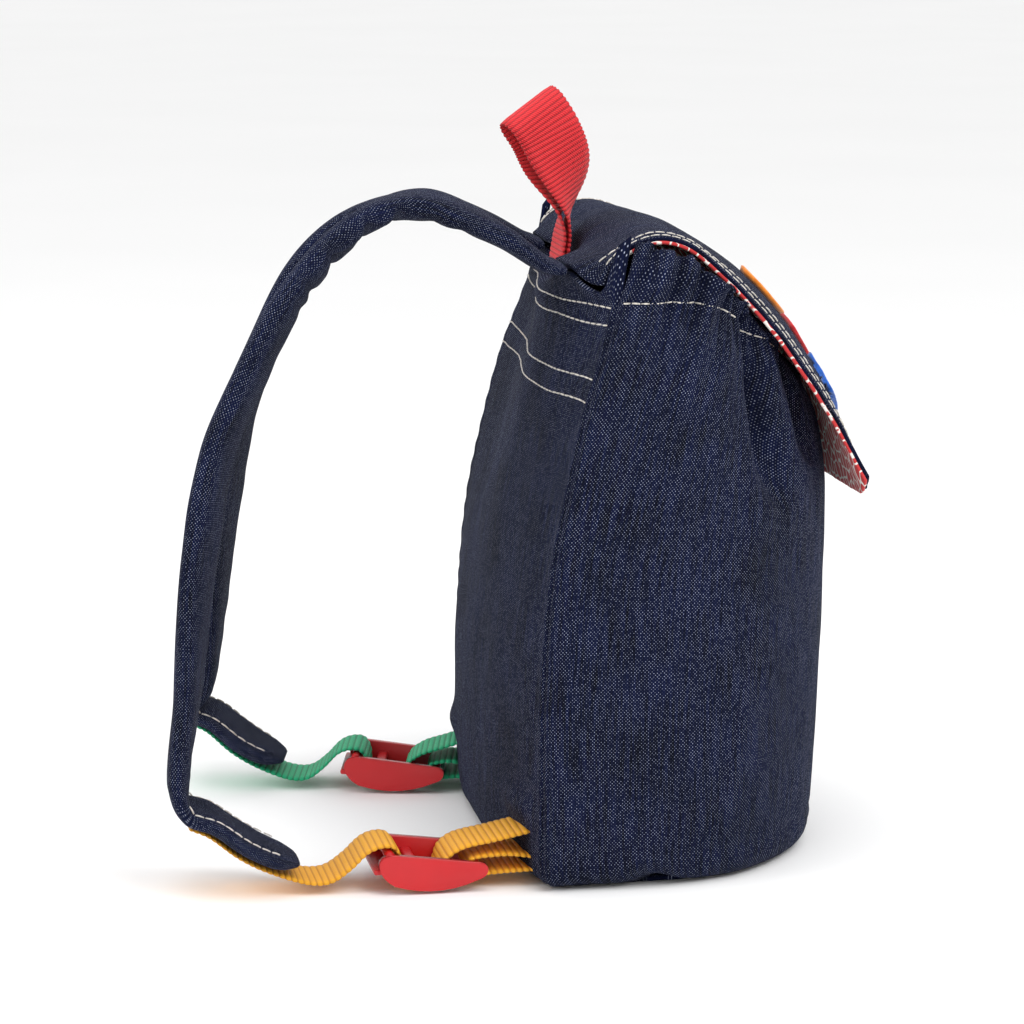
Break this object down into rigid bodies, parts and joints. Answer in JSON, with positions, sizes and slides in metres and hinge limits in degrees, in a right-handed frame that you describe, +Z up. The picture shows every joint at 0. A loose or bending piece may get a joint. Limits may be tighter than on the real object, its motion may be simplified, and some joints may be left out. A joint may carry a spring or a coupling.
{
  "type": "kids backpack",
  "caption": "Small rounded denim backpack with a gathered mouth under a lined flap, padded shoulder straps, webbing with slide buckles and a twisted hanging loop.",
  "frame": {"origin": "on the floor under the middle of the flat base", "axes": "+Z up, -Y the flap's side, +Y the side against the wearer's back with the straps, -X the wearer's left"},
  "size_m": [0.2119, 0.265, 0.2877],
  "materials": {
    "denim": "matte indigo twill",
    "lining_print": "matte printed cotton",
    "webbing_yellow": "ribbed webbing",
    "webbing_green": "ribbed webbing",
    "webbing_red": "ribbed webbing",
    "buckle_plastic": "satin moulded",
    "felt_orange": "matte felt",
    "felt_red": "matte felt",
    "felt_blue": "matte felt"
  },
  "bodies": {
    "root": {"body_panel": "denim", "back_panel": "denim", "base_panel": "denim", "flap": "denim", "flap_lining": "lining_print", "felt_disc_orange": "felt_orange", "felt_square_red": "felt_red", "felt_triangle_blue": "felt_blue", "felt_disc_blue": "felt_blue", "felt_triangle_orange": "felt_orange", "shoulder_strap_left": "denim", "strap_webbing_left": "webbing_yellow", "anchor_webbing_left": "webbing_yellow", "buckle_left": "buckle_plastic", "shoulder_strap_right": "denim", "strap_webbing_right": "webbing_green", "anchor_webbing_right": "webbing_green", "buckle_right": "buckle_plastic", "hang_loop": "webbing_red"}
  },
  "joints": []
}
